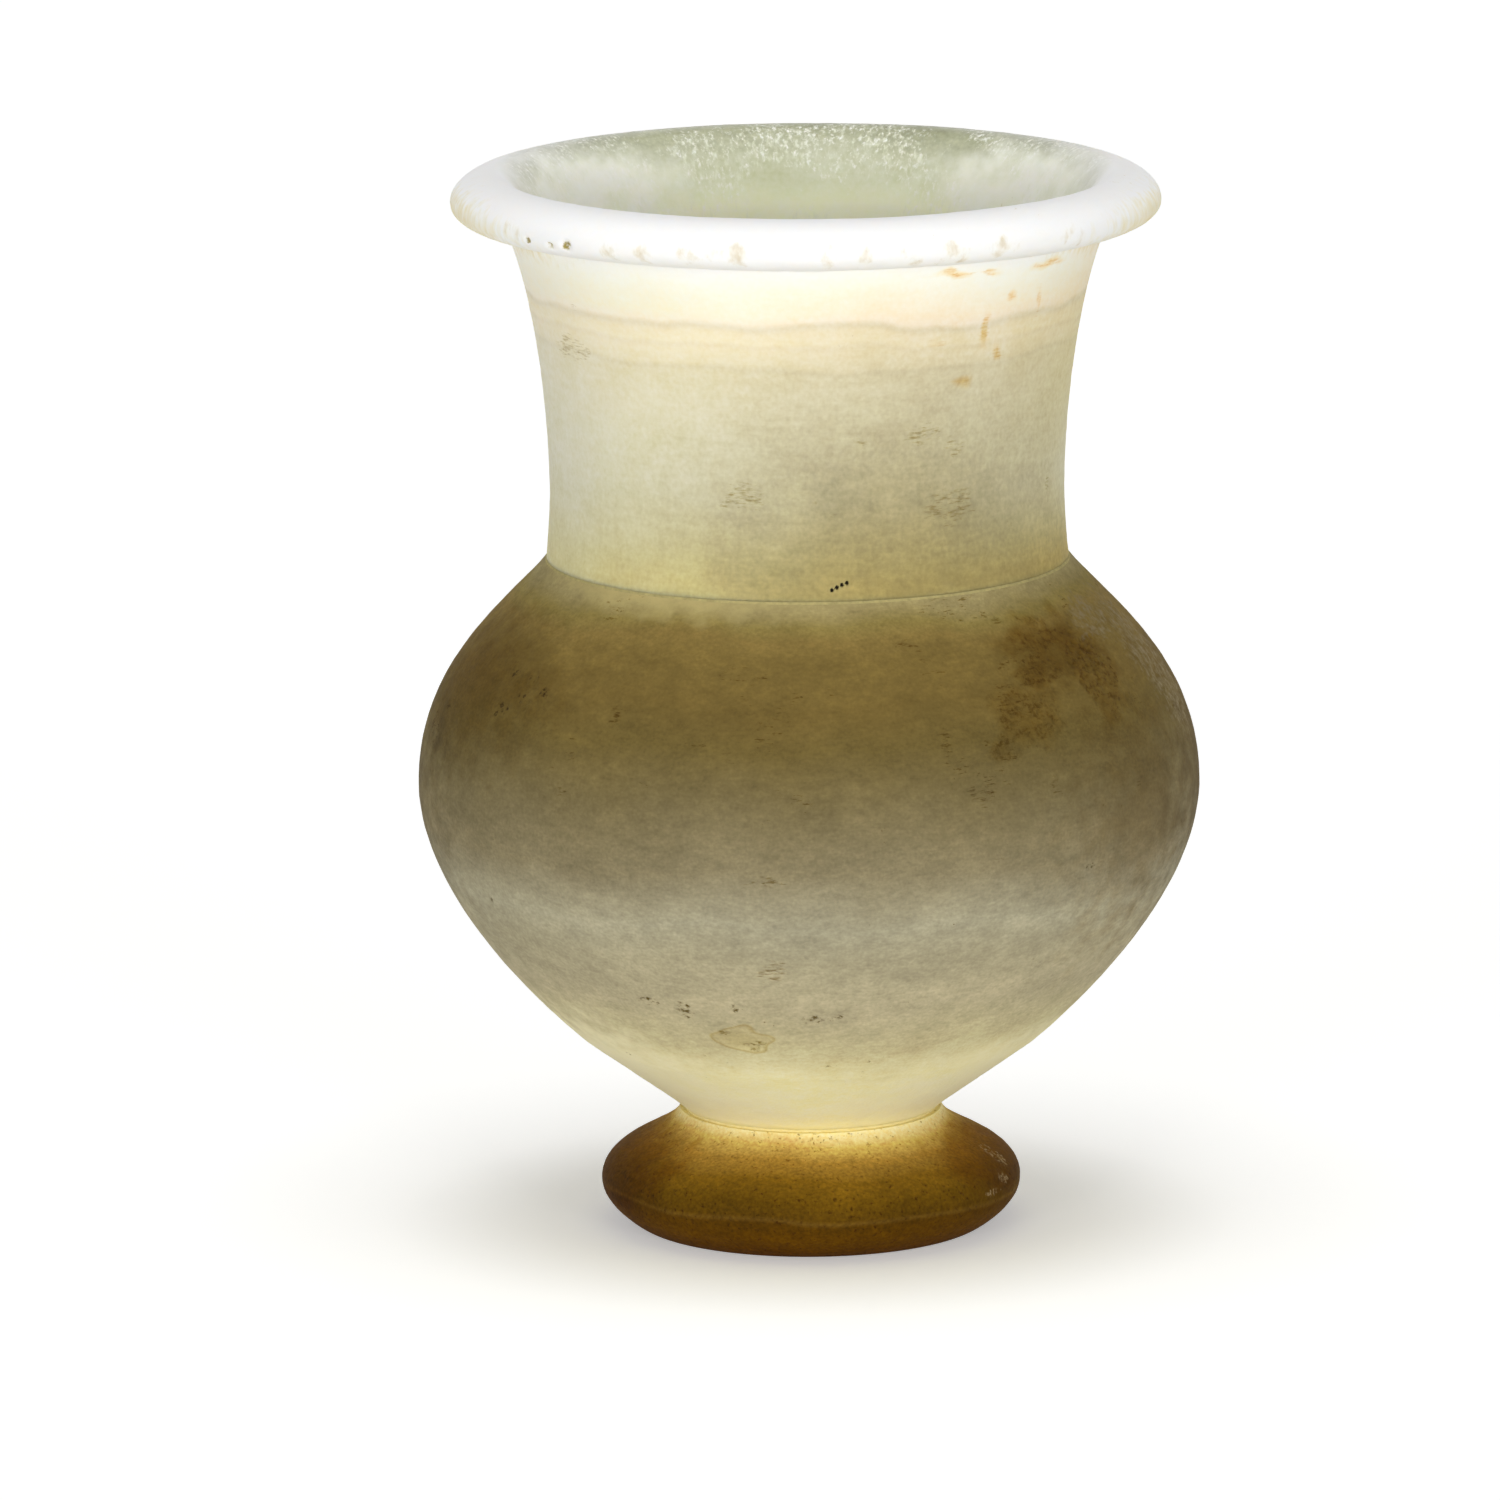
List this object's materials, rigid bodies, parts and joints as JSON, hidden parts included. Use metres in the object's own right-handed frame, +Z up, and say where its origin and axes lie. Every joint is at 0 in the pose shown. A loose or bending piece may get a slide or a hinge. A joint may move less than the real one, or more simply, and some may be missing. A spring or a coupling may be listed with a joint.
{
  "type": "egyptian stone vase",
  "caption": "Footed calcite vase with a round hollow body, a wide flaring neck and a rolled lip, joined from turned stones.",
  "frame": {"origin": "centre of the resting ring under the foot, on the ground", "axes": "+Z up along the axis of the vase; -Y faces the picture's viewer"},
  "size_m": [0.1682, 0.1682, 0.229],
  "materials": {
    "neck_travertine": "smoothed, satin, translucent cream",
    "body_travertine": "smoothed, matte, olive brown over grey cream",
    "foot_travertine": "smoothed, matte, amber brown",
    "gypsum_mortar": "matte plaster, stained"
  },
  "bodies": {
    "root": {"foot": "foot_travertine", "foot_mortar": "gypsum_mortar", "body": "body_travertine", "neck_mortar": "gypsum_mortar", "neck": "neck_travertine"}
  },
  "joints": []
}
